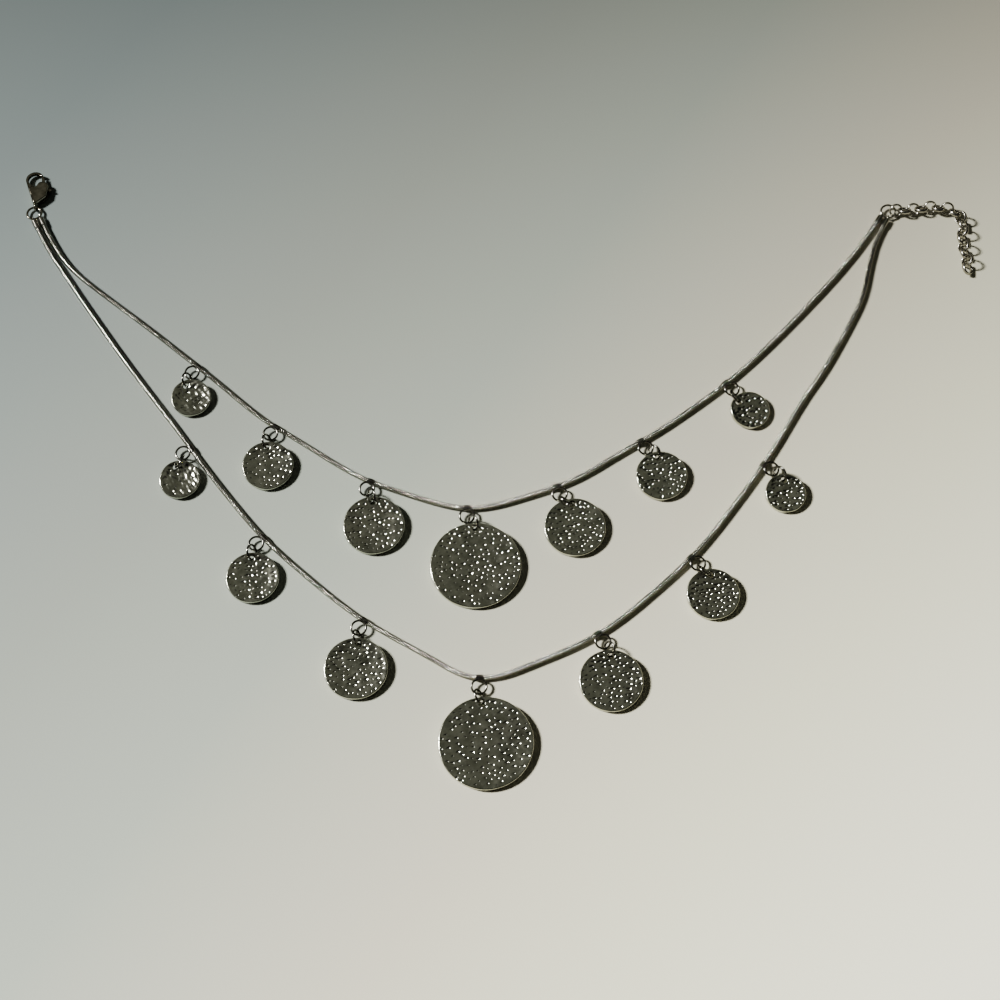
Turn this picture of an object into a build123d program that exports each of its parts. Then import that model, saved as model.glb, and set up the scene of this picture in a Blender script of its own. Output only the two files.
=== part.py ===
from build123d import *
import math
import os

# A necklace of two round snake chains with hammered discs, lying open on a flat surface.
# Millimetres, +Z up. The origin is on that surface, under the middle of the necklace.
# +X runs from the clasp to the extender, +Y from the centre discs to the neck opening.

# Size of the whole, from the middle of the clasp's ring to the middle of the extender's, and
# from those down to the lowest run. The plan points below are drawn for the drawn size.
NECKLACE_WIDTH = 371.2
NECKLACE_DEPTH = 214.6
DRAWN_WIDTH = 371.2
DRAWN_DEPTH = 214.6

# Chains: one round section, its axis at one height all the way
CHAIN_DIAMETER = 2.0
FIT_GAP = 0.1            # all round the chain inside a sleeve or cap
SLEEVE_WALL = 0.15
SLEEVE_LENGTH = 2.6
BORE_RADIUS = CHAIN_DIAMETER / 2 + FIT_GAP
SLEEVE_RADIUS = BORE_RADIUS + SLEEVE_WALL
ARC_SHARE = 0.45         # of the shorter run, taken by the arc at each route point

# Joining rings: the clasp's lies level, the extender's is lifted on the side of its links
JOINING_RING_RADIUS = 3.05
JOINING_RING_WIRE = 0.95
CLASP_RING_MIDDLE = (-201.0, 118.0)
CLASP_RING_HEIGHT = 1.4
EXTENDER_RING_MIDDLE = (170.2, 118.6)
EXTENDER_RING_HEIGHT = 1.9
EXTENDER_RING_LEAN = 10  # degrees
EXTENDER_RING_RISE = 53  # degrees from +X, the way it rises

# Where each chain's cap loop sits on its joining ring, in degrees from +X
LEFT_LOOP_SPREAD = 60
RIGHT_LOOP_SPREAD = 57
UPPER_LEFT_LOOP = -30
UPPER_RIGHT_LOOP = 205
LOWER_LEFT_LOOP = UPPER_LEFT_LOOP - LEFT_LOOP_SPREAD
LOWER_RIGHT_LOOP = UPPER_RIGHT_LOOP + RIGHT_LOOP_SPREAD

# Routes, from the clasp to the extender, between the cap loops. A drop's name stands between
# the two points of the run that it hangs from, in the middle of that run.
UPPER_POINTS = [
    (-191.5, 102.5), (-182, 89), (-168.5, 77.5), (-149, 62), (-129.5, 45.5), "upper_1",
    (-117.5, 35.5), (-96.5, 16.5), "upper_2", (-83, 8), (-57.5, -9.5), "upper_3",
    (-43, -15.5), (-18.5, -24), "upper_4", (-4.5, -24.5), (16.5, -17.5), "upper_5",
    (31.5, -12), (51.5, 1.5), "upper_6", (65.5, 10), (88.5, 27.5), "upper_7",
    (100.5, 38), (115, 52.5), (130.5, 69.5), (144.5, 85.5), (157, 101.5),
]
LOWER_POINTS = [
    (-194.5, 102), (-186, 89), (-170, 65.5), (-150, 37.5), (-129, 10), "lower_1",
    (-118, -5.5), (-98, -31), "lower_2", (-85.5, -44), (-58.5, -67.5), "lower_3",
    (-43, -77.5), (-28, -86), (-12.5, -95.5), "lower_4", (0, -96), (15.5, -89.5),
    (31.5, -82.5), "lower_5", (46.5, -73.5), (70, -52.5), "lower_6", (82.5, -39.5),
    (102.5, -12.5), "lower_7", (112.5, 2.5), (126, 25.5), (136, 39.5), (146.5, 58),
    (155.5, 75), (159.5, 91), (163.5, 104),
]
# The extender's links follow this line, from the middle of its ring
EXTENDER_POINTS = [
    EXTENDER_RING_MIDDLE, (179.7, 118.9), (188.5, 120.3), (195.5, 119.8), (200.6, 116.8),
    (202.2, 111.5), (200.8, 105.5), (200.8, 99), (201.6, 94), (201.2, 89.5), (200.6, 84),
]

# End caps: a cup on the chain end with a small upright loop
CAP_WALL = 0.15
CAP_START = 1.2          # from the middle of the loop to the cup's closed end
CAP_LENGTH = 4.0
CAP_FLOOR = 1.0
CAP_LOOP_RADIUS = 1.1
CAP_LOOP_WIRE = 0.5
CHAIN_START = CAP_START + CAP_FLOOR + FIT_GAP
CHAIN_HEIGHT = CAP_LOOP_RADIUS + CAP_LOOP_WIRE / 2

# Rings of the drops, to the middle of the wire
DROP_RING_RADIUS = 2.87
DROP_RING_WIRE = 0.86
SOLDER_ANGLE = 50        # degrees up the sleeve's outer side
SOLDER_DEPTH = 0.1
BAIL_RING_DROOP = 8.4    # degrees below level, away from the sleeve

# Discs: flat back, rounded edge, dished face, one hole near the edge
DISC_THICKNESS = 2.0
DISC_EDGE_ROUND = 0.5
DISH_DEPTH = 0.8
HOLE_DIAMETER = 2.8
HOLE_INSET = 2.5         # from the edge to the middle of the hole
HOLE_LIFT = 1.6          # the back at the hole, above the surface
DISC_DIAMETERS = {"small": 16.4, "medium": 20.8, "large": 24.5, "centre": 35.9}

# Jump rings: how far the bail ring's wire is from the hole, and how far the ring's middle
# stands above the line between them, as shares of DROP_RING_RADIUS
JUMP_REACH = 1.45
JUMP_RISE = 0.36
REST_GAP = 0.02          # under a jump ring's lowest point
MOST_LEAN = 80.0         # degrees
LEAN_HALVINGS = 30

# Drops. Angles are in degrees from +X: hole_way from the bail ring to the disc's hole, disc_way
# from the hole to the disc's middle. lean is the side the jump ring leans to.
DROPS = [
    # name, disc, hole_way, disc_way, lean
    ("upper_1", "small", -104, -66, -1),
    ("upper_2", "medium", -98, -84, -1),
    ("upper_3", "large", -68, -86, 1),
    ("upper_4", "centre", -59, -90, 1),
    ("upper_5", "large", -46, -84, -1),
    ("upper_6", "medium", -45, -83, 1),
    ("upper_7", "small", -72, -36, -1),
    ("lower_1", "small", -108, -70, 1),
    ("lower_2", "medium", -102, -83, -1),
    ("lower_3", "large", -87, -95, -1),
    ("lower_4", "centre", -81, -84, -1),
    ("lower_5", "large", -64, -92, 1),
    ("lower_6", "medium", -48, -86, -1),
    ("lower_7", "small", -49, -87, 1),
]

# Extender links: loose interlocking rings of oval wire, wider along the ring's axis than across,
# rolled by turns to one side and the other
LINK_COUNT = 16
LINK_RADIUS = 2.55
LINK_WIRE = 0.84
LINK_WIDTH = 1.5         # of the wire, along the ring's axis
LINK_PLAY = 0.5          # more than the wire, by which two links overlap
FIRST_LINK_PLAY = 1.4    # the same, of the first link and its ring
LINK_PITCH = 2 * LINK_RADIUS - LINK_WIRE - LINK_PLAY
FIRST_LINK = JOINING_RING_RADIUS + LINK_RADIUS - (JOINING_RING_WIRE + LINK_WIRE) / 2 - FIRST_LINK_PLAY
LINK_ROLLS = (-54, 36)   # degrees about the line of the links

# Lobster clasp. Its own plan has the middle of the tail eye at 0, 0 and the hook along +Y.
CLASP_TURN = 8.6         # degrees, hook towards -X
CLASP_THICKNESS = 3.4
EYE_RADIUS = 1.3
EYE_WIRE = 0.8
HOOK_MIDDLE = (0.6, 14.3)
HOOK_RADIUS = 2.95       # inside
HOOK_BAR = 0.95
HOOK_THICKNESS = 1.6
HOOK_TIP_ANGLE = 22
SPINE_ROUND = 0.85
SPINE_TOP = (-1.5, 9.3)
TAIL_START = 1.2         # end of the cheeks, inside the eye's outer edge
TAIL_ROUND = 1.2
TAIL_MIDDLE = (0.4, TAIL_START + TAIL_ROUND)
BULGE_ROUND = 2.8
BULGE_MIDDLE = (3.5, 9.5)
THROAT_ROUND = 0.6
THROAT_MIDDLE = (0.5, 10.0)
CHEEK_EDGE_ROUND = 0.7
PIVOT = (3.6, 5.2)
PIVOT_ROUND = 1.7        # the body round the pivot
PIN_RADIUS = 0.4
PIN_INSET = 0.125        # of its ends, below the cheeks' faces
PIN_GAP = 0.08
SLOT_LEFT = 1.3
SLOT_BOTTOM = 3.0
SLOT_HEIGHT = 1.3
CUTTER_REACH = 4         # times a round's radius, to pass the far side of it
LEVER_THICKNESS = 1.1
LEVER_BOSS = 1.25
LEVER_ELBOW = (4.35, 11.5)
LEVER_ELBOW_ROUND = 0.75
LEVER_TIP = (4.05, 14.6)
LEVER_TIP_ROUND = 0.55
TAB_ROOT = (5.0, 8.4)
TAB_ROOT_ROUND = 0.7
TAB_END = (7.0, 7.7)
TAB_END_ROUND = 0.5

os.makedirs("parts", exist_ok=True)


def save(solid, node):
    """Write one node."""
    export_step(solid, f"parts/{node}.step")


def direction(start, end):
    """Level unit vector from one plan point to another."""
    return Vector(end[0] - start[0], end[1] - start[1]).normalized()


def heading(angle):
    """Level unit vector at an angle in degrees from +X."""
    return Vector(math.cos(math.radians(angle)), math.sin(math.radians(angle)))


def right_of(way):
    """Level unit vector on the right-hand side of a way."""
    return Vector(way.Y, -way.X)


def ring(middle, axis, radius, wire):
    """Round ring of round wire."""
    return Plane(origin=middle, z_dir=axis) * Torus(radius, wire / 2)


def placed(point):
    """Drawn plan point, stretched to the size of the whole."""
    return (point[0] * NECKLACE_WIDTH / DRAWN_WIDTH, point[1] * NECKLACE_DEPTH / DRAWN_DEPTH)


def moved_along(start, way, distance):
    """Plan point at a distance along a way."""
    return (start[0] + way.X * distance, start[1] + way.Y * distance)


def rim_point(middle, angle):
    """Plan point on a joining ring's wire."""
    return moved_along(middle, heading(angle), JOINING_RING_RADIUS)


# Chains

def chain_route(drawn, left_loop, right_loop):
    """Plan points of a chain, from its loop on the clasp's ring to that on the extender's."""
    points = [placed(item) for item in drawn if not isinstance(item, str)]
    left = rim_point(placed(CLASP_RING_MIDDLE), left_loop)
    right = rim_point(placed(EXTENDER_RING_MIDDLE), right_loop)
    return [left, *points, right]


def hanging_run(name):
    """The two plan points that a drop hangs between."""
    drawn = UPPER_POINTS if name in UPPER_POINTS else LOWER_POINTS
    number = drawn.index(name)
    return placed(drawn[number - 1]), placed(drawn[number + 1])


def chain_path(route):
    """Straight runs joined by arcs, from inside one cap to inside the other."""
    points = list(route)
    points[0] = moved_along(route[0], direction(route[0], route[1]), CHAIN_START)
    points[-1] = moved_along(route[-1], direction(route[-1], route[-2]), CHAIN_START)
    radii = []
    for before, here, after in zip(points, points[1:], points[2:]):
        turn = direction(before, here).get_angle(direction(here, after))
        shorter = min(math.dist(before, here), math.dist(here, after))
        radii.append(ARC_SHARE * shorter / math.tan(math.radians(turn / 2)))
    corners = [Vector(x, y, CHAIN_HEIGHT) for x, y in points]
    return FilletPolyline(*corners, radius=radii), radii


def chain(route):
    """Solid tube along a chain's route."""
    path, radii = chain_path(route)
    section = Plane(origin=path @ 0, z_dir=path % 0) * Circle(CHAIN_DIAMETER / 2)
    tube = sweep(section, path=path)
    expected = math.pi * CHAIN_DIAMETER ** 2 / 4 * path.length
    print("chain", round(path.length, 1), "mm, smallest radii", [round(r, 1) for r in sorted(radii)[:4]])
    print("  tube volume over section times length", round(tube.volume / expected, 5))
    return tube


def end_cap(start, towards):
    """Cup on a chain end with its loop, one solid."""
    way = direction(start, towards)
    cap_plane = Plane(origin=(start[0], start[1], CHAIN_HEIGHT), z_dir=way)
    seat = (Align.CENTER, Align.CENTER, Align.MIN)
    cup = Pos(0, 0, CAP_START) * Cylinder(BORE_RADIUS + CAP_WALL, CAP_LENGTH, align=seat)
    cup -= Pos(0, 0, CAP_START + CAP_FLOOR) * Cylinder(BORE_RADIUS, CAP_LENGTH, align=seat)
    loop = ring((start[0], start[1], CHAIN_HEIGHT), right_of(way), CAP_LOOP_RADIUS, CAP_LOOP_WIRE)
    return cap_plane * cup + loop


# Drops

def bail(hanger, way):
    """Sleeve on the chain with its soldered ring. Also gives the ring's middle and axis."""
    sleeve = Cylinder(SLEEVE_RADIUS, SLEEVE_LENGTH) - Cylinder(BORE_RADIUS, SLEEVE_LENGTH)
    outward = right_of(way)
    solder_radius = SLEEVE_RADIUS + DROP_RING_WIRE / 2 - SOLDER_DEPTH
    solder = math.radians(SOLDER_ANGLE)
    joint = hanger + (outward * math.cos(solder) + Vector(0, 0, math.sin(solder))) * solder_radius
    droop = math.radians(BAIL_RING_DROOP)
    across = outward * math.cos(droop) - Vector(0, 0, math.sin(droop))
    middle = joint + across * DROP_RING_RADIUS
    axis = across.cross(way)
    solid = Plane(origin=hanger, z_dir=way) * sleeve + ring(middle, axis, DROP_RING_RADIUS, DROP_RING_WIRE)
    return solid, middle, axis


def wire_point(middle, axis, angle):
    """Point on the bail ring's wire that lies at a plan angle from its middle."""
    level = heading(angle)
    slope = -(level.X * axis.X + level.Y * axis.Y) / axis.Z
    return middle + (level + Vector(0, 0, slope)).normalized() * DROP_RING_RADIUS


def jump_ring_frame(hole, wire, lean):
    """Middle and axis of the ring through hole and round wire, leaning until it rests."""
    along = (wire - hole).normalized()
    side = Vector(-along.Y, along.X).normalized() * -lean
    upright = side.cross(along) if side.cross(along).Z > 0 else along.cross(side)
    rise = DROP_RING_RADIUS * JUMP_RISE
    reach = math.sqrt(DROP_RING_RADIUS ** 2 - rise ** 2)
    low, high = 0.0, MOST_LEAN
    for _ in range(LEAN_HALVINGS):
        lean_angle = (low + high) / 2
        up = upright * math.cos(math.radians(lean_angle)) + side * math.sin(math.radians(lean_angle))
        middle = hole + along * reach + up * rise
        axis = along.cross(up)
        bottom = middle.Z - DROP_RING_RADIUS * math.sqrt(1 - axis.Z ** 2) - DROP_RING_WIRE / 2
        if bottom < REST_GAP:
            low = lean_angle
        else:
            high = lean_angle
    return middle, axis


def disc(diameter):
    """Disc with its back at z = 0, the middle of its hole at 0, 0 and its middle along +X."""
    seat = (Align.CENTER, Align.CENTER, Align.MIN)
    blank = Cylinder(diameter / 2, DISC_THICKNESS, align=seat)
    blank = fillet(blank.edges().filter_by(GeomType.CIRCLE), DISC_EDGE_ROUND)
    dish_edge = diameter / 2 - DISC_EDGE_ROUND
    dish_radius = (dish_edge ** 2 + DISH_DEPTH ** 2) / (2 * DISH_DEPTH)
    blank -= Pos(0, 0, DISC_THICKNESS + dish_radius - DISH_DEPTH) * Sphere(dish_radius)
    placed = Pos(diameter / 2 - HOLE_INSET, 0, 0) * blank
    return placed - Cylinder(HOLE_DIAMETER / 2, DISC_THICKNESS * 2)


def drop(name, size, hole_way, disc_way, lean):
    """Bail, jump ring and disc on the middle of one run of a chain."""
    start, end = hanging_run(name)
    way = direction(start, end)
    hanger = Vector((start[0] + end[0]) / 2, (start[1] + end[1]) / 2, CHAIN_HEIGHT)
    bail_solid, bail_middle, bail_axis = bail(hanger, way)
    wire = wire_point(bail_middle, bail_axis, hole_way)

    diameter = DISC_DIAMETERS[size]
    tilt = math.asin(HOLE_LIFT / (diameter - HOLE_INSET))
    disc_x = heading(disc_way) * math.cos(tilt) - Vector(0, 0, math.sin(tilt))
    disc_up = heading(disc_way) * math.sin(tilt) + Vector(0, 0, math.cos(tilt))
    mid_hole_height = HOLE_LIFT + DISC_THICKNESS / 2 * disc_up.Z
    reach = DROP_RING_RADIUS * JUMP_REACH
    fall = wire.Z - mid_hole_height
    level = heading(hole_way) * math.sqrt(reach ** 2 - fall ** 2)
    hole = Vector(wire.X + level.X, wire.Y + level.Y, mid_hole_height)

    ring_middle, ring_axis = jump_ring_frame(hole, wire, lean)
    disc_plane = Plane(origin=hole - disc_up * (DISC_THICKNESS / 2), x_dir=disc_x, z_dir=disc_up)
    save(bail_solid, f"bail_{name}")
    save(ring(ring_middle, ring_axis, DROP_RING_RADIUS, DROP_RING_WIRE), f"jump_ring_{name}")
    save(disc_plane * disc(diameter), f"disc_{name}")


# Extender

def point_along(route, distance):
    """Plan point at a distance along a route of straight runs."""
    runs = list(zip(route, route[1:]))
    while len(runs) > 1 and distance > math.dist(*runs[0]):
        distance -= math.dist(*runs.pop(0))
    start, end = runs[0]
    return moved_along(start, direction(start, end), distance)


def extender_chain():
    """Row of loose interlocking links, each resting on the surface."""
    line = [placed(point) for point in EXTENDER_POINTS]
    section = Plane.XZ * Pos(LINK_RADIUS, 0) * Ellipse(LINK_WIRE / 2, LINK_WIDTH / 2)
    link = revolve(section, axis=Axis.Z)
    links = []
    for number in range(LINK_COUNT):
        place = FIRST_LINK + number * LINK_PITCH
        x, y = point_along(line, place)
        way = direction(point_along(line, place - LINK_RADIUS), point_along(line, place + LINK_RADIUS))
        roll = math.radians(LINK_ROLLS[number % 2])
        across = right_of(way) * math.cos(roll) + Vector(0, 0, math.sin(roll))
        reach_down = math.hypot(LINK_WIRE / 2 * math.sin(roll), LINK_WIDTH / 2 * math.cos(roll))
        height = LINK_RADIUS * abs(math.sin(roll)) + reach_down
        links.append(Plane(origin=(x, y, height), z_dir=way.cross(across)) * link)
    return Compound(children=links)


# Clasp

def joined_rounds(*rounds):
    """Outline round circles, each given as its middle and radius."""
    circles = [Pos(*middle) * Circle(radius).edge() for middle, radius in rounds]
    return make_hull(circles)


def slab(outline, thickness):
    """Outline thickened both ways about the clasp's middle plane."""
    return Pos(0, 0, CLASP_THICKNESS / 2) * extrude(outline, thickness / 2, both=True)


def clasp_body():
    """Hook, cheeks, tail eye and pivot pin, one casting."""
    hook_opening = joined_rounds((HOOK_MIDDLE, HOOK_RADIUS), (THROAT_MIDDLE, THROAT_ROUND))
    cheek_outline = joined_rounds((TAIL_MIDDLE, TAIL_ROUND), (SPINE_TOP, SPINE_ROUND),
                                  (BULGE_MIDDLE, BULGE_ROUND), (PIVOT, PIVOT_ROUND))
    cheeks = slab(cheek_outline, CLASP_THICKNESS)
    faces = cheeks.faces().filter_by(Axis.Z)
    cheeks = fillet(faces.edges(), CHEEK_EDGE_ROUND)
    cheeks -= slab(hook_opening, CLASP_THICKNESS * 2)
    slot_size = BULGE_ROUND * CUTTER_REACH
    slot = Pos(SLOT_LEFT + slot_size / 2, SLOT_BOTTOM + slot_size / 2, CLASP_THICKNESS / 2)
    cheeks -= slot * Box(slot_size, slot_size, SLOT_HEIGHT)

    hook_outline = joined_rounds((HOOK_MIDDLE, HOOK_RADIUS + HOOK_BAR), (SPINE_TOP, SPINE_ROUND))
    hook_outline -= hook_opening
    tip = heading(HOOK_TIP_ANGLE) * (HOOK_RADIUS * CUTTER_REACH)
    mouth = Polygon(HOOK_MIDDLE, (HOOK_MIDDLE[0] + tip.X, HOOK_MIDDLE[1] + tip.Y),
                    (HOOK_MIDDLE[0] + tip.X, SPINE_TOP[1] - SPINE_ROUND * 2),
                    (HOOK_MIDDLE[0], SPINE_TOP[1] - SPINE_ROUND * 2), align=None)
    hook = slab(hook_outline - mouth, HOOK_THICKNESS)

    eye = ring((0, 0, CLASP_THICKNESS / 2), (1, 0, 0), EYE_RADIUS, EYE_WIRE)
    pin_length = CLASP_THICKNESS - 2 * PIN_INSET
    pin = Pos(PIVOT[0], PIVOT[1], CLASP_THICKNESS / 2) * Cylinder(PIN_RADIUS, pin_length)
    return cheeks + hook + eye + pin


def clasp_lever():
    """Thumb lever: boss on the pin, arm up to the hook's tip, tab at the side."""
    outline = joined_rounds((PIVOT, LEVER_BOSS), (LEVER_ELBOW, LEVER_ELBOW_ROUND))
    outline += joined_rounds((LEVER_ELBOW, LEVER_ELBOW_ROUND), (LEVER_TIP, LEVER_TIP_ROUND))
    outline += joined_rounds((TAB_ROOT, TAB_ROOT_ROUND), (TAB_END, TAB_END_ROUND))
    outline -= Pos(*PIVOT) * Circle(PIN_RADIUS + PIN_GAP)
    return slab(outline, LEVER_THICKNESS)


# Build and write every node

CHAINS = [
    # name, points, left loop, right loop
    ("upper", UPPER_POINTS, UPPER_LEFT_LOOP, UPPER_RIGHT_LOOP),
    ("lower", LOWER_POINTS, LOWER_LEFT_LOOP, LOWER_RIGHT_LOOP),
]
for chain_name, *drawn_route in CHAINS:
    route = chain_route(*drawn_route)
    save(chain(route), f"{chain_name}_chain")
    save(end_cap(route[0], route[1]), f"{chain_name}_left_cap")
    save(end_cap(route[-1], route[-2]), f"{chain_name}_right_cap")

for row in DROPS:
    drop(*row)

clasp_ring_x, clasp_ring_y = placed(CLASP_RING_MIDDLE)
clasp_ring_middle = (clasp_ring_x, clasp_ring_y, CLASP_RING_HEIGHT)
save(ring(clasp_ring_middle, (0, 0, 1), JOINING_RING_RADIUS, JOINING_RING_WIRE), "clasp_ring")
rise = math.radians(EXTENDER_RING_LEAN)
extender_axis = Vector(0, 0, math.cos(rise)) - heading(EXTENDER_RING_RISE) * math.sin(rise)
extender_ring_middle = (*placed(EXTENDER_RING_MIDDLE), EXTENDER_RING_HEIGHT)
save(ring(extender_ring_middle, extender_axis, JOINING_RING_RADIUS, JOINING_RING_WIRE), "extender_ring")
save(extender_chain(), "extender_chain")

eye_middle = (clasp_ring_x, clasp_ring_y + JOINING_RING_RADIUS, 0)
clasp_place = Plane(origin=eye_middle, x_dir=heading(CLASP_TURN), z_dir=(0, 0, 1))
save(clasp_place * clasp_body(), "clasp_body")
save(clasp_place * clasp_lever(), "clasp_lever")
pivot_place = clasp_place.from_local_coords(Vector(PIVOT[0], PIVOT[1], CLASP_THICKNESS / 2))
print("lever pivot", [round(value, 3) for value in pivot_place])
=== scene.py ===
import math

import bpy
import numpy as np
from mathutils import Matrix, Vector
from mathutils.geometry import delaunay_2d_cdt


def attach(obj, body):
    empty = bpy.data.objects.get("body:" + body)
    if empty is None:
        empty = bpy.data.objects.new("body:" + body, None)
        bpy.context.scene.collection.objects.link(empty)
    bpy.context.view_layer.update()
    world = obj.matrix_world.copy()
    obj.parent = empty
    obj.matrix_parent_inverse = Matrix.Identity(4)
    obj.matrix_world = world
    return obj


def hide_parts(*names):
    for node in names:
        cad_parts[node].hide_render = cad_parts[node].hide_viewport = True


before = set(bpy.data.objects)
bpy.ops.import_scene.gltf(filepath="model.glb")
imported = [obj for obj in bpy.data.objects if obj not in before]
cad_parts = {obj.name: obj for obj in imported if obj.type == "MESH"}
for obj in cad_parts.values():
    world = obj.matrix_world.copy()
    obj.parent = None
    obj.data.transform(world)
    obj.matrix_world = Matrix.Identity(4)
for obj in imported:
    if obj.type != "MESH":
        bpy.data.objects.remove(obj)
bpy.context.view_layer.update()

# A necklace of two round snake chains with hammered discs, lying open on a pale surface.
# Lengths here are millimetres; meshes, lights and the camera are made in metres.
MM = 0.001

# Camera: it looks down at the necklace from the side of the centre discs
CAMERA_PLACE = (1.5, -318.1, 611.2)
CAMERA_TILT = 26         # degrees from straight down
CAMERA_LENS = 61.2
SENSOR_WIDTH = 36

# Surface: its colours are painted light and shade, darker and cooler at the back left and brighter at the
# front right, in place of the light's falloff; they run along the way given, over this span, with the
# object's middle half-way
FLOOR_HALF = 1600
FLOOR_ROUGHNESS = 0.85
FLOOR_SPECULAR = 0.2
FLOOR_WAY = (0.83, -0.558)
FLOOR_SPAN = 520
# Painted light and shade: the floor's colour, from its darkest at the back left to its brightest at the
# front right
FLOOR_PAINTED_LIGHT_SHADES = [
    (0.0, (0.168, 0.203, 0.199)), (0.15, (0.206, 0.237, 0.221)), (0.3, (0.255, 0.278, 0.244)),
    (0.45, (0.32, 0.35, 0.298)), (0.65, (0.54, 0.517, 0.405)), (0.8, (0.726, 0.72, 0.535)),
    (1.0, (0.97, 0.96, 0.76)),
]
TOOTH_SIZE = 0.8         # of the card's fine relief
TOOTH_DETAIL = 2
TOOTH_DEPTH = 0.03

# Key light
KEY_PLACE = (-2398, 510, 2057)
KEY_AIM = (102, -1213, 0)
KEY_COLOUR = (1.0, 0.99, 0.96)
KEY_POWER = 2180
KEY_RADIUS = 260
KEY_CONE = 57            # degrees

# Room: dark, with a dim patch of ceiling this way up; its shades go by the cosine of the angle to that way
CEILING_WAY = (0.14, 0.43, 0.892)
ROOM_SHADES = [
    (0.0, (0.022, 0.022, 0.02)), (0.35, (0.012, 0.012, 0.011)), (0.6, (0.004, 0.004, 0.004)),
    (0.82, (0.005, 0.005, 0.0045)), (0.922, (0.104, 0.106, 0.085)), (1.0, (0.122, 0.125, 0.1)),
]

# Metals: name, colour where tarnished, colour where bright, tint at grazing angles, roughness,
# size of the tarnish, size and depth of the grain, radius of the worn corners
METALS = [
    ("disc_metal", (0.34, 0.345, 0.275), (0.58, 0.585, 0.48), 1.0, 0.17, 5, 0.55, 0.035, 0),
    ("chain_metal", (0.3, 0.29, 0.245), (0.44, 0.43, 0.37), 0.12, 0.16, 9, 0.5, 0.008, 0),
    ("cap_metal", (0.35, 0.33, 0.28), (0.6, 0.58, 0.5), 0.3, 0.14, 3, 0.4, 0.006, 0),
    ("ring_metal", (0.08, 0.078, 0.066), (0.26, 0.25, 0.22), 0.08, 0.15, 3, 0.4, 0.006, 0),
    ("link_metal", (0.26, 0.25, 0.21), (0.5, 0.48, 0.42), 0.25, 0.24, 3, 0.4, 0.006, 0),
    ("clasp_metal", (0.22, 0.2, 0.145), (0.5, 0.46, 0.36), 0.1, 0.13, 3, 0.4, 0.012, 0.3),
]
TARNISH_RANGE = (0.34, 0.62)     # of the noise, from tarnished to bright
TARNISH_DETAIL = 4
TARNISH_ROUGHNESS = 0.6
POLISH_SIZE = 0.6                # as a share of the tarnish's size
POLISH_RANGE = (0.3, 0.7)        # of the noise
POLISH_SPREAD = (-0.05, 0.07)    # added to a metal's roughness
FINE_DETAIL = 3                  # of the polish and the grain
# First word in the name of a node that shows its own solid, and that node's metal
CARRIED = {"bail": "ring_metal", "jump": "ring_metal", "clasp": "clasp_metal", "extender": "link_metal",
           "upper": "cap_metal", "lower": "cap_metal"}

# Chains: the route's points, as in the CAD model, and the chain's own form
CHAIN_HEIGHT = 1.35
CHAIN_START = 2.3        # from the middle of a cap's loop
UPPER_ROUTE = [
    (-198.36, 116.475), (-191.5, 102.5), (-182, 89), (-168.5, 77.5), (-149, 62), (-129.5, 45.5),
    (-117.5, 35.5), (-96.5, 16.5), (-83, 8), (-57.5, -9.5), (-43, -15.5), (-18.5, -24),
    (-4.5, -24.5), (16.5, -17.5), (31.5, -12), (51.5, 1.5), (65.5, 10), (88.5, 27.5),
    (100.5, 38), (115, 52.5), (130.5, 69.5), (144.5, 85.5), (157, 101.5), (167.44, 117.31),
]
LOWER_ROUTE = [
    (-201, 114.95), (-194.5, 102), (-186, 89), (-170, 65.5), (-150, 37.5), (-129, 10),
    (-118, -5.5), (-98, -31), (-85.5, -44), (-58.5, -67.5), (-43, -77.5), (-28, -86),
    (-12.5, -95.5), (0, -96), (15.5, -89.5), (31.5, -82.5), (46.5, -73.5), (70, -52.5),
    (82.5, -39.5), (102.5, -12.5), (112.5, 2.5), (126, 25.5), (136, 39.5), (146.5, 58),
    (155.5, 75), (159.5, 91), (163.5, 104), (169.78, 115.58),
]
CURVE_STEPS = 24         # points read from each span of a route's curve
WAY_REACH = 0.5          # distance before and after a point over which its direction is read
CHAIN_RADIUS = 1.05
CORE_RADIUS = 0.7
CORE_SIDES = 12
RIB_PITCH = 0.92
RIB_WIDTH = 0.7
RIB_ROWS = [(1, 0.25), (-1, 0.75)]       # side, and place as a share of the pitch
RIB_SEAM = 0.72          # radius at a rib's ends, where the two rows meet, as a share of its middle's
RIB_FALL = 4             # power of the fall from a rib's middle to its ends
RIB_SLANT = 0.3          # by which a rib's middle lies behind its ends, as a share of the pitch
RIB_SIDES = 8
# Section of a rib: place as a share of its width, radius as a share of the chain's
RIB_PROFILE = [(-0.5, 0.7), (-0.34, 0.9), (0, 1.0), (0.34, 0.9), (0.5, 0.7)]

# Discs
DISC_THICKNESS = 2.0
DISH_DEPTH = 0.8
EDGE_ROUND = 0.45
EDGE_STEPS = 4
HOLE_RADIUS = 1.42
HOLE_EDGE = 0.15
RIM_ROOM = 0.05          # by which the rim stays inside the CAD disc's, before its wave
RIM_WAVE = 0.1           # by which the outline is out of round
RIM_LOBES = (2, 3, 7)
RIM_SEED = 100           # added to a disc's seed
DISC_GRID = 0.18         # distance between the points of a disc's face
GRID_CLEARANCE = 0.6     # kept from the rim and the hole, as a share of that distance
MERGE_DISTANCE = 1e-6

# Finding a disc in its CAD mesh
BACK_DOWN = 0.9          # least share of straight down in the way that the back looks
BACK_ROUNDS = 3
SAME_WAY = 0.9999        # least cosine between the ways of two faces of the back
LEVEL_GAP = 0.01         # highest point of the back, over its lowest
RIM_REACH = 0.99         # least reach of a point of the rim, as a share of the largest

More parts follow.
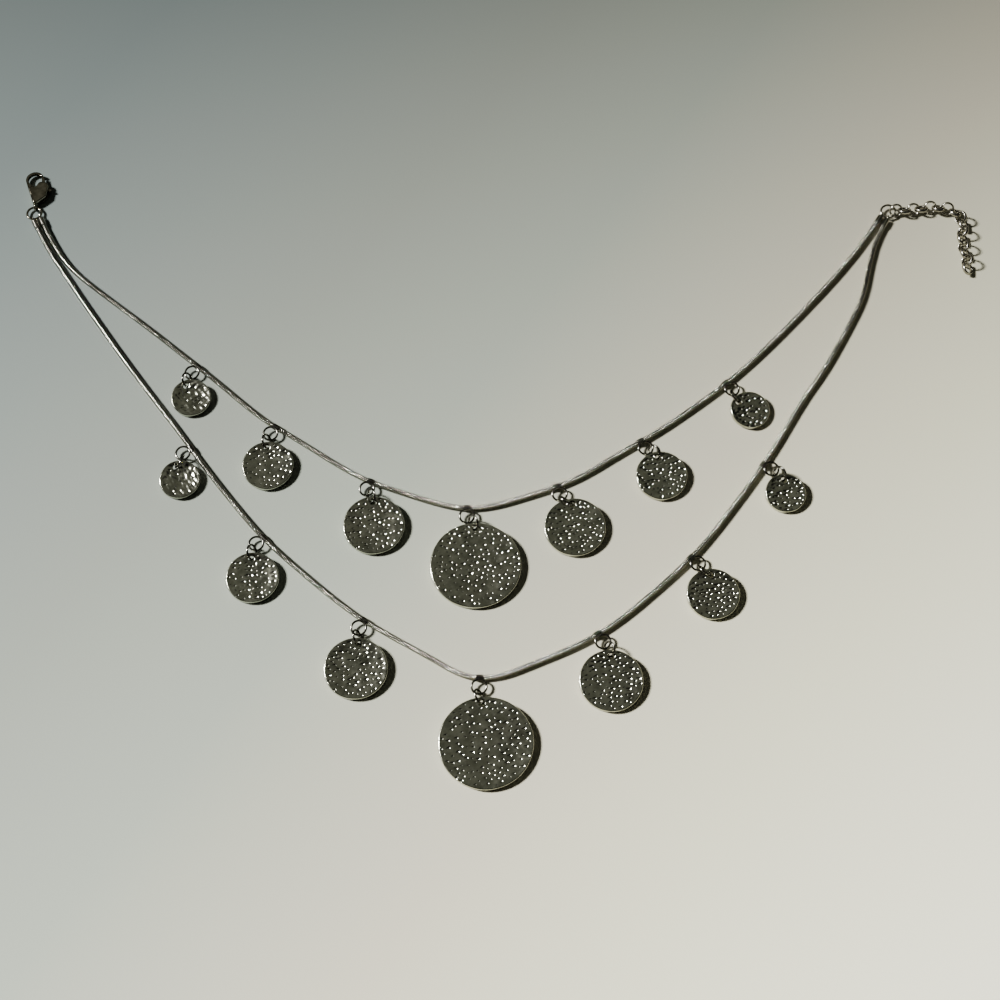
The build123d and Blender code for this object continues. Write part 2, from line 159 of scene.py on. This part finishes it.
# Hammer marks: each is a short slanted facet, with a longer slope back up behind it
MARK_WAY = 200           # degrees from +X, the way the facets look
MARK_TURN = 0.35         # radians, spread of that way
MARK_LENGTH = 0.5        # of the facet, along its slope
MARK_BACK = 1.5          # of the slope behind it
MARK_HALF_WIDTH = 0.45
MARK_SIDE_FALL = 3       # power of the fall to a mark's sides
MARK_HOLLOW = 0.2        # how much a facet's slope changes along it
MARK_SLOPES = (0.72, 1.2)        # as shares of a disc's slope
MARK_SIZES = (0.55, 1.15)
MARK_TRIES = 2.6         # places tried, for each square of the distance between marks

# Waves of a hand-worked face
WAVE_COUNT = 9
WAVE_TURN = 0.7          # radians, spread of the way that the waves run
WAVE_LENGTHS = (0.7, 1.5)        # as shares of a disc's wave length
WAVE_FADE = 1.2          # distance from the rim over which they fade out

# Name, seed, distance between marks, slope of their facets, depth and length of the waves
DISC_LOOKS = [
    ("upper_1", 11, 2.6, 0.34, 0.26, 2.0),
    ("upper_2", 12, 1.5, 0.42, 0.1, 4.5),
    ("upper_3", 13, 1.45, 0.45, 0.1, 4.5),
    ("upper_4", 14, 1.7, 0.5, 0.1, 4.5),
    ("upper_5", 15, 1.5, 0.56, 0.1, 4.5),
    ("upper_6", 16, 1.45, 0.61, 0.1, 4.5),
    ("upper_7", 17, 1.4, 0.76, 0.12, 4.5),
    ("lower_1", 21, 2.6, 0.34, 0.24, 2.0),
    ("lower_2", 22, 1.5, 0.42, 0.1, 4.5),
    ("lower_3", 23, 1.5, 0.46, 0.1, 4.5),
    ("lower_4", 24, 1.7, 0.52, 0.1, 4.5),
    ("lower_5", 25, 1.5, 0.58, 0.1, 4.5),
    ("lower_6", 26, 1.45, 0.63, 0.1, 4.5),
    ("lower_7", 27, 1.4, 0.69, 0.1, 4.5),
]


# Nodes

def dot_product(tree, value, way):
    """Dot product of a node's output with one vector."""
    node = tree.nodes.new("ShaderNodeVectorMath")
    node.operation = "DOT_PRODUCT"
    node.inputs[1].default_value = way
    tree.links.new(value, node.inputs[0])
    return node.outputs["Value"]


def colour_ramp(tree, value, stops):
    """Colours at values from 0 to 1."""
    node = tree.nodes.new("ShaderNodeValToRGB")
    elements = node.color_ramp.elements
    while len(elements) < len(stops):
        elements.new(0.5)
    for element, (position, colour) in zip(elements, stops):
        element.position = position
        element.color = (*colour, 1)
    tree.links.new(value, node.inputs["Fac"])
    return node.outputs["Color"]


class Nodes:
    """Short forms for the nodes of one material."""

    def __init__(self, name):
        self.material = bpy.data.materials.new(name)
        self.material.use_nodes = True
        self.tree = self.material.node_tree
        self.shader = self.tree.nodes["Principled BSDF"]
        self.place = self.tree.nodes.new("ShaderNodeTexCoord").outputs["Object"]

    def set(self, socket, value):
        self.shader.inputs[socket].default_value = value

    def link(self, output, socket):
        self.tree.links.new(output, self.shader.inputs[socket])

    def noise(self, size, detail, roughness=0.5):
        """Noise with features of about this size in millimetres, from 0 to 1."""
        node = self.tree.nodes.new("ShaderNodeTexNoise")
        node.inputs["Scale"].default_value = 1 / (size * MM)
        node.inputs["Detail"].default_value = detail
        node.inputs["Roughness"].default_value = roughness
        self.tree.links.new(self.place, node.inputs["Vector"])
        return node.outputs["Fac"]

    def spread(self, value, old, new):
        """Value mapped from one range to another."""
        node = self.tree.nodes.new("ShaderNodeMapRange")
        for socket, number in zip(("From Min", "From Max", "To Min", "To Max"), (*old, *new)):
            node.inputs[socket].default_value = number
        self.tree.links.new(value, node.inputs["Value"])
        return node.outputs["Result"]

    def bump(self, height, depth):
        """Fine relief of this depth in millimetres."""
        node = self.tree.nodes.new("ShaderNodeBump")
        node.inputs["Distance"].default_value = depth * MM
        self.tree.links.new(height, node.inputs["Height"])
        self.link(node.outputs["Normal"], "Normal")
        return node


# Camera, lights and surface

def add_object(name, data):
    """New object in the scene."""
    made = bpy.data.objects.new(name, data)
    bpy.context.scene.collection.objects.link(made)
    return made


def add_camera():
    """The photograph's viewpoint."""
    data = bpy.data.cameras.new("camera")
    data.lens = CAMERA_LENS
    data.sensor_width = SENSOR_WIDTH
    camera = add_object("camera", data)
    camera.location = Vector(CAMERA_PLACE) * MM
    camera.rotation_euler = (math.radians(CAMERA_TILT), 0, 0)
    bpy.context.scene.camera = camera


def add_key():
    """One soft light from the left."""
    data = bpy.data.lights.new("key", "SPOT")
    data.energy = KEY_POWER
    data.color = KEY_COLOUR
    data.shadow_soft_size = KEY_RADIUS * MM
    data.spot_size = math.radians(KEY_CONE)
    data.spot_blend = 1.0
    key = add_object("key", data)
    key.location = Vector(KEY_PLACE) * MM
    key.rotation_euler = (Vector(KEY_AIM) - Vector(KEY_PLACE)).to_track_quat("-Z", "Y").to_euler()


def add_room():
    """Dark room with a dim patch of ceiling."""
    room = bpy.data.worlds.new("room")
    room.use_nodes = True
    tree = room.node_tree
    direction = tree.nodes.new("ShaderNodeTexCoord").outputs["Generated"]
    shade = colour_ramp(tree, dot_product(tree, direction, CEILING_WAY), ROOM_SHADES)
    tree.links.new(shade, tree.nodes["Background"].inputs["Color"])
    bpy.context.scene.world = room


def floor_material():
    """Matt pale card with a faint tooth; its colour carries painted shade, darker and cooler at the back
    left, and painted light, brighter at the front right.
    """
    nodes = Nodes("pale_surface")
    nodes.set("Roughness", FLOOR_ROUGHNESS)
    nodes.set("Specular IOR Level", FLOOR_SPECULAR)
    way = (FLOOR_WAY[0] / FLOOR_SPAN / MM, FLOOR_WAY[1] / FLOOR_SPAN / MM, 0)
    share = nodes.spread(dot_product(nodes.tree, nodes.place, way), (-0.5, 0.5), (0, 1))
    # Painted light and shade: the card's colour follows the ramp of painted shades along the floor's way
    nodes.link(colour_ramp(nodes.tree, share, FLOOR_PAINTED_LIGHT_SHADES), "Base Color")
    nodes.bump(nodes.noise(TOOTH_SIZE, TOOTH_DETAIL), TOOTH_DEPTH)
    return nodes.material


def add_floor():
    """Pale surface, whose colour carries painted light and shade."""
    half = FLOOR_HALF * MM
    mesh = bpy.data.meshes.new("floor")
    corners = [(-half, -half, 0), (half, -half, 0), (half, half, 0), (-half, half, 0)]
    mesh.from_pydata(corners, [], [(0, 1, 2, 3)])
    mesh.materials.append(floor_material())
    floor = add_object("floor", mesh)


# Metals

def metal(name, dark, light, edge, roughness, tarnish_size, grain_size, grain_depth, corner):
    """Worn grey metal: tarnish in soft patches, uneven polish, fine grain, and worn corners if any."""
    nodes = Nodes(name)
    nodes.set("Metallic", 1.0)
    nodes.set("Specular Tint", (edge, edge, edge, 1))
    tarnish = nodes.noise(tarnish_size, TARNISH_DETAIL, TARNISH_ROUGHNESS)
    stops = list(zip(TARNISH_RANGE, (dark, light)))
    nodes.link(colour_ramp(nodes.tree, tarnish, stops), "Base Color")
    polish = nodes.noise(tarnish_size * POLISH_SIZE, FINE_DETAIL)
    polished = [roughness + change for change in POLISH_SPREAD]
    nodes.link(nodes.spread(polish, POLISH_RANGE, polished), "Roughness")
    grain = nodes.bump(nodes.noise(grain_size, FINE_DETAIL), grain_depth)
    if corner:
        worn = nodes.tree.nodes.new("ShaderNodeBevel")
        worn.inputs["Radius"].default_value = corner * MM
        nodes.tree.links.new(worn.outputs["Normal"], grain.inputs["Normal"])
    return nodes.material


add_camera()
add_key()
add_room()
add_floor()
MATERIALS = {name: metal(name, *look) for name, *look in METALS}


# Meshes

def add_piece(name, vertices, faces, slot, nodes):
    """Smooth mesh piece in place of CAD nodes. Vertices are millimetres."""
    mesh = bpy.data.meshes.new(name)
    mesh.from_pydata((np.asarray(vertices) * MM).tolist(), [], faces)
    mesh.materials.append(MATERIALS[slot])
    mesh.shade_smooth()
    piece = add_object(name, mesh)
    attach(piece, "necklace")
    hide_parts(*nodes)


def grid_faces(rows, columns, closed=False, start=0):
    """Quads over a grid of vertices, with its columns joined round if closed."""
    faces = []
    for row in range(rows - 1):
        for column in range(columns if closed else columns - 1):
            after = (column + 1) % columns
            here = start + row * columns
            faces.append((here + column, here + after, here + columns + after, here + columns + column))
    return faces


def circle(radius, count):
    """Points round a circle."""
    turn = np.arange(count) * 2 * math.pi / count
    return np.stack([np.cos(turn), np.sin(turn)], axis=1) * radius


# Chains

def route_line(route):
    """Points along a route's curve, in millimetres, from inside one cap to inside the other."""
    corners = [Vector((*point, CHAIN_HEIGHT)) for point in route]
    corners[0] += (corners[1] - corners[0]).normalized() * CHAIN_START
    corners[-1] += (corners[-2] - corners[-1]).normalized() * CHAIN_START
    data = bpy.data.curves.new("route", "CURVE")
    data.dimensions = "3D"
    spline = data.splines.new("NURBS")
    spline.points.add(len(corners) - 1)
    for point, corner in zip(spline.points, corners):
        point.co = (*(corner * MM), 1)
    spline.order_u = 3
    spline.use_endpoint_u = True
    spline.resolution_u = CURVE_STEPS
    curve = bpy.data.objects.new("route", data)
    mesh = bpy.data.meshes.new_from_object(curve)
    line = np.array([vertex.co for vertex in mesh.vertices]) / MM
    bpy.data.objects.remove(curve)
    bpy.data.meshes.remove(mesh)
    return line


def along(line, places):
    """Points and level directions at distances along a line."""
    steps = np.linalg.norm(np.diff(line, axis=0), axis=1)
    reached = np.concatenate([[0], np.cumsum(steps)])
    points, ahead, behind = (
        np.stack([np.interp(places + shift, reached, line[:, axis]) for axis in range(3)], axis=1)
        for shift in (0, WAY_REACH, -WAY_REACH)
    )
    ways = ahead - behind
    return points, ways / np.linalg.norm(ways, axis=1, keepdims=True)


def swept(points, ways, sideways, upward, lengthwise):
    """Copies of one outline or patch at every point: arrays of offsets to the side, up and along."""
    sides = np.stack([ways[:, 1], -ways[:, 0], np.zeros(len(ways))], axis=1)
    up = np.array([0, 0, 1])
    return (points[:, None] + sides[:, None] * sideways[None, :, None] + up * upward[None, :, None]
            + ways[:, None] * lengthwise[None, :, None])


def rib_offsets(side):
    """One half-round rib: offsets to the side, up and along, as rows across its width."""
    sideways, upward, lengthwise = [], [], []
    for place, height in RIB_PROFILE:
        for step in range(RIB_SIDES + 1):
            share = 2 * step / RIB_SIDES - 1
            angle = share * math.pi / 2
            radius = CHAIN_RADIUS * height * (1 - (1 - RIB_SEAM) * abs(share) ** RIB_FALL)
            sideways.append(side * radius * math.cos(angle))
            upward.append(radius * math.sin(angle))
            lengthwise.append(place * RIB_WIDTH - RIB_SLANT * RIB_PITCH * (1 - abs(share)))
    return np.array(sideways), np.array(upward), np.array(lengthwise)


def snake_chain(name, route):
    """Round snake chain: a core and two rows of half-round ribs, set by turns."""
    line = route_line(route)
    length = np.linalg.norm(np.diff(line, axis=0), axis=1).sum()
    count = int(length / RIB_PITCH)
    pitch = length / count

    points, ways = along(line, np.arange(count + 1) * pitch)
    core = swept(points, ways, *circle(CORE_RADIUS, CORE_SIDES).T, np.zeros(CORE_SIDES))
    vertices = [core.reshape(-1, 3)]
    faces = grid_faces(count + 1, CORE_SIDES, closed=True)
    faces.append(tuple(range(CORE_SIDES)))
    faces.append(tuple(count * CORE_SIDES + number for number in reversed(range(CORE_SIDES))))

    rib_size = len(RIB_PROFILE) * (RIB_SIDES + 1)
    start = len(vertices[0])
    for side, shift in RIB_ROWS:
        points, ways = along(line, (np.arange(count) + shift) * pitch)
        vertices.append(swept(points, ways, *rib_offsets(side)).reshape(-1, 3))
        for _ in range(count):
            quads = grid_faces(len(RIB_PROFILE), RIB_SIDES + 1, start=start)
            faces += quads if side == 1 else [quad[::-1] for quad in quads]
            start += rib_size
    add_piece(f"{name}_snake_chain", np.concatenate(vertices), faces, "chain_metal", [f"{name}_chain"])


# Discs

def back_way(mesh):
    """The way that the flat back of a disc looks."""
    normals = np.array([polygon.normal for polygon in mesh.polygons])
    areas = np.array([polygon.area for polygon in mesh.polygons])
    facing = normals[:, 2] < -BACK_DOWN
    for _ in range(BACK_ROUNDS):
        way = (normals[facing] * areas[facing, None]).sum(axis=0)
        way /= np.linalg.norm(way)
        facing = normals @ way > SAME_WAY
    return way


def rim_circle(flat):
    """Middle and radius of the circle through the outermost of some points."""
    middle = (flat.min(axis=0) + flat.max(axis=0)) / 2
    reach = np.linalg.norm(flat - middle, axis=1)
    rim = flat[reach > reach.max() * RIM_REACH]
    terms = np.column_stack([2 * rim, np.ones(len(rim))])
    fit, *_ = np.linalg.lstsq(terms, (rim ** 2).sum(axis=1), rcond=None)
    middle = fit[:2]
    return middle, math.sqrt(fit[2] + middle @ middle)


def disc_frame(node):
    """Middle of a disc's back, its radius, its axes and its hole's distance, from its CAD mesh."""
    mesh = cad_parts[node].data
    points = np.array([vertex.co for vertex in mesh.vertices]) / MM
    up = -back_way(mesh)
    level = points @ up
    x_axis = np.cross(up, (0, 1, 0))
    x_axis /= np.linalg.norm(x_axis)
    y_axis = np.cross(up, x_axis)
    flat = np.stack([points @ x_axis, points @ y_axis], axis=1)
    middle, radius = rim_circle(flat)

    back = flat[level < level.min() + LEVEL_GAP]
    hole_edge = back[np.linalg.norm(back - middle, axis=1) < radius - EDGE_ROUND * 2]
    to_hole = (hole_edge.min(axis=0) + hole_edge.max(axis=0)) / 2 - middle
    distance = np.linalg.norm(to_hole)
    forward = (x_axis * to_hole[0] + y_axis * to_hole[1]) / distance
    origin = x_axis * middle[0] + y_axis * middle[1] + up * level.min()
    return origin, radius, (forward, np.cross(up, forward), up), distance


def ring_edges(start, count):
    """Edges that join a row of points into a ring."""
    return [(start + number, start + (number + 1) % count) for number in range(count)]


def disc_plan(radius, hole):
    """Triangles of a disc's face with its hole, the rim's points first, then the hole's."""
    rim_count = round(2 * math.pi * radius / DISC_GRID)
    hole_count = round(2 * math.pi * HOLE_RADIUS / DISC_GRID)
    clearance = DISC_GRID * GRID_CLEARANCE
    inner = []
    for number, y in enumerate(np.arange(-radius, radius, DISC_GRID * math.sqrt(3) / 2)):
        for x in np.arange(-radius + (number % 2) * DISC_GRID / 2, radius, DISC_GRID):
            clear_of_rim = math.hypot(x, y) < radius - clearance
            if clear_of_rim and math.hypot(x - hole, y) > HOLE_RADIUS + clearance:
                inner.append((x, y))
    hole_edge = circle(HOLE_RADIUS, hole_count) + (hole, 0)
    points = np.concatenate([circle(radius, rim_count), hole_edge, inner])
    edges = ring_edges(0, rim_count) + ring_edges(rim_count, hole_count)
    made, _, faces, *_ = delaunay_2d_cdt([Vector(point) for point in points], edges, [], 0, MERGE_DISTANCE)
    assert len(made) == len(points)
    in_hole = range(rim_count, rim_count + hole_count)
    kept = [tuple(face) for face in faces if not all(index in in_hole for index in face)]
    return points, kept, rim_count, hole_count


def scattered(rng, radius, spacing, hole):
    """Points about this far apart over a disc, clear of its hole."""
    chosen = np.empty((0, 2))
    for _ in range(int(MARK_TRIES * math.pi * (radius / spacing) ** 2)):
        turn, reach = rng.uniform(0, 2 * math.pi), radius * math.sqrt(rng.uniform())
        point = np.array([math.cos(turn), math.sin(turn)]) * reach
        if math.hypot(point[0] - hole, point[1]) < HOLE_RADIUS + MARK_LENGTH:
            continue
        if len(chosen) and np.linalg.norm(chosen - point, axis=1).min() < spacing:
            continue
        chosen = np.vstack([chosen, point])
    return chosen


def waves(points, rng, length, way):
    """Uneven waves of about this length across a way, over points, between -1 and 1."""
    total = np.zeros(len(points))
    for _ in range(WAVE_COUNT):
        turn, phase = rng.normal(way, WAVE_TURN), rng.uniform(0, 2 * math.pi)
        size = length * rng.uniform(*WAVE_LENGTHS)
        across = points @ np.array([math.cos(turn), math.sin(turn)])
        total += np.sin(across * 2 * math.pi / size + phase)
    return total / WAVE_COUNT


def mark_depth(points, middle, way, slope, size):
    """Depth over points of one hammer mark, whose facet looks along a level way."""
    offsets = points - middle
    uphill = -(offsets @ way) / size
    across = (offsets[:, 0] * way[1] - offsets[:, 1] * way[0]) / (MARK_HALF_WIDTH * size)
    facet = np.clip(uphill / MARK_LENGTH, 0, 1)
    profile = 1 - facet - MARK_HOLLOW * facet * (1 - facet)
    profile = np.clip(np.where(uphill < 0, 1 + uphill / MARK_BACK, profile), 0, 1)
    fade = np.clip(1 - np.abs(across) ** MARK_SIDE_FALL, 0, 1)
    return slope * MARK_LENGTH * size * profile * fade


def face_height(points, radius, hole, way, seed, spacing, slope, wave, wave_length):
    """Height of a disc's face over its back: dished, hand-worked and marked by the hammer."""
    rng = np.random.default_rng(seed)
    reach = np.linalg.norm(points, axis=1)
    height = DISC_THICKNESS - DISH_DEPTH * (1 - (reach / radius) ** 2)
    inward = np.clip((radius - reach) / WAVE_FADE, 0, 1)
    height += wave * inward * waves(points, rng, wave_length, way)
    for middle in scattered(rng, radius - MARK_LENGTH, spacing, hole):
        angle = way + rng.normal(0, MARK_TURN)
        looking = np.array([math.cos(angle), math.sin(angle)])
        facet_slope = slope * rng.uniform(*MARK_SLOPES)
        height -= mark_depth(points, middle, looking, facet_slope, rng.uniform(*MARK_SIZES))
    return height


def rim_rows(plan, height, radius, seed):
    """Rows of vertices round a disc's edge, from below its face to above its back."""
    around = np.arctan2(plan[:, 1], plan[:, 0])
    phases = np.random.default_rng(seed + RIM_SEED).uniform(0, 2 * math.pi, len(RIM_LOBES))
    wave = sum(np.sin(around * lobes + phase) for lobes, phase in zip(RIM_LOBES, phases)) / len(RIM_LOBES)
    turns = [step / EDGE_STEPS * math.pi / 2 for step in range(1, EDGE_STEPS + 1)]
    levels = [(turn, height - EDGE_ROUND * (1 - math.cos(turn))) for turn in turns]
    levels += [(turn, np.full(len(plan), EDGE_ROUND * (1 - math.cos(turn)))) for turn in reversed(turns)]
    rows = []
    for turn, level in levels:
        reach = radius + (EDGE_ROUND - RIM_ROOM + RIM_WAVE * wave) * math.sin(turn)
        rows.append(np.column_stack([np.cos(around) * reach, np.sin(around) * reach, level]))
    return rows


def hole_rows(plan, height, hole):
    """Rows of vertices down a disc's hole, from its face to its back."""
    lower, back = np.full(len(plan), HOLE_EDGE), np.zeros(len(plan))
    rows = []
    for inset, level in ((HOLE_EDGE, height - HOLE_EDGE), (HOLE_EDGE, lower), (0, back)):
        around = (plan - (hole, 0)) * (HOLE_RADIUS - inset) / HOLE_RADIUS + (hole, 0)
        rows.append(np.column_stack([around, level]))
    return rows


def add_rows(vertices, faces, previous, rows, inside=False):
    """Add closed rows of vertices, each joined to the one before. Returns the last row's indices."""
    for row in rows:
        start = sum(len(block) for block in vertices)
        indices = range(start, start + len(row))
        vertices.append(row)
        for here in range(len(row)):
            after = (here + 1) % len(row)
            quad = (previous[here], indices[here], indices[after], previous[after])
            faces.append(quad[::-1] if inside else quad)
        previous = indices
    return previous


def close_back(flat, faces, outer, inner):
    """Flat back between the rim and the hole."""
    indices = [*outer, *inner]
    edges = ring_edges(0, len(outer)) + ring_edges(len(outer), len(inner))
    points = [Vector(flat[index]) for index in indices]
    _, _, triangles, *_ = delaunay_2d_cdt(points, edges, [], 0, MERGE_DISTANCE)
    for triangle in triangles:
        if not all(index >= len(outer) for index in triangle):
            faces.append(tuple(indices[index] for index in reversed(triangle)))


def hammered_disc(plans, name, *look):
    """One disc: dented face, rounded rim, plain back and the hole through it."""
    node = f"disc_{name}"
    origin, radius, axes, hole = disc_frame(node)
    face_radius = radius - EDGE_ROUND
    size = round(radius, 1)
    if size not in plans:
        plans[size] = disc_plan(face_radius, hole)
    plan, triangles, rim_count, hole_count = plans[size]
    facing = np.array([math.cos(math.radians(MARK_WAY)), math.sin(math.radians(MARK_WAY)), 0])
    way = math.atan2(facing @ axes[1], facing @ axes[0])
    height = face_height(plan, face_radius, hole, way, *look)

    vertices = [np.column_stack([plan, height])]
    faces = list(triangles)
    rim, edge = range(rim_count), range(rim_count, rim_count + hole_count)
    rim_wall = rim_rows(plan[rim], height[rim], face_radius, look[0])
    hole_wall = hole_rows(plan[edge], height[edge], hole)
    outer = add_rows(vertices, faces, rim, rim_wall)
    inner = add_rows(vertices, faces, edge, hole_wall, inside=True)
    local = np.concatenate(vertices)
    close_back(local[:, :2], faces, outer, inner)
    world = origin + local[:, :1] * axes[0] + local[:, 1:2] * axes[1] + local[:, 2:] * axes[2]
    add_piece(f"hammered_{node}", world, faces, "disc_metal", [node])


# Build

snake_chain("upper", UPPER_ROUTE)
snake_chain("lower", LOWER_ROUTE)
disc_plans = {}
for look in DISC_LOOKS:
    hammered_disc(disc_plans, *look)

for node_name, node_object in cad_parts.items():
    kind = node_name.split("_")[0]
    if kind in CARRIED:
        node_object.data.materials.clear()
        node_object.data.materials.append(MATERIALS[CARRIED[kind]])
